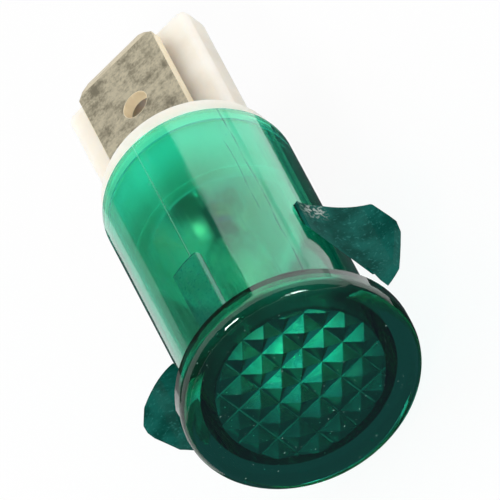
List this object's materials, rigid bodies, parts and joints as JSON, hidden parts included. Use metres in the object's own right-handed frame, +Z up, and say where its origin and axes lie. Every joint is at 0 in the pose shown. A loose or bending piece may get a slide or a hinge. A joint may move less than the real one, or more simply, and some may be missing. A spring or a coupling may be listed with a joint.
{
  "type": "panel pilot light",
  "caption": "Snap-in panel pilot light with a transparent green faceted lens, a flanged barrel with swept snap wings, and a white base with blade tabs.",
  "frame": {"origin": "centre of the flange's back face, where the panel's front surface seats", "axes": "-Y out of the lens towards the viewer of the panel, +Y along the barrel towards the terminals, +Z up and square to the tab faces, +X across the tabs"},
  "size_m": [0.0195, 0.0346, 0.0152],
  "materials": {
    "green_polycarbonate": "transparent green polycarbonate, polished, with spark-textured wings and pad",
    "white_nylon": "satin warm white moulded nylon",
    "tinned_brass": "dull mottled tin plate on brass, bare brass at cut edges",
    "lamp_glass": "clear drawn glass",
    "nickel_wire": "drawn nickel wire",
    "sleeve_plastic": "matt white insulating sleeve",
    "resistor_lacquer": "beige lacquer",
    "tinned_copper": "tinned copper wire",
    "solder": "satin solder"
  },
  "bodies": {
    "root": {"lens_barrel": "green_polycarbonate", "terminal_base": "white_nylon", "tab_terminal_upper": "tinned_brass", "tab_terminal_lower": "tinned_brass", "lamp_envelope": "lamp_glass", "lamp_electrode_upper": "nickel_wire", "lamp_electrode_lower": "nickel_wire", "lead_sleeve": "sleeve_plastic", "resistor_body": "resistor_lacquer", "resistor_lead_front": "tinned_copper", "resistor_lead_rear": "tinned_copper", "solder_splice": "solder", "solder_upper": "solder", "solder_lower": "solder"}
  },
  "joints": []
}
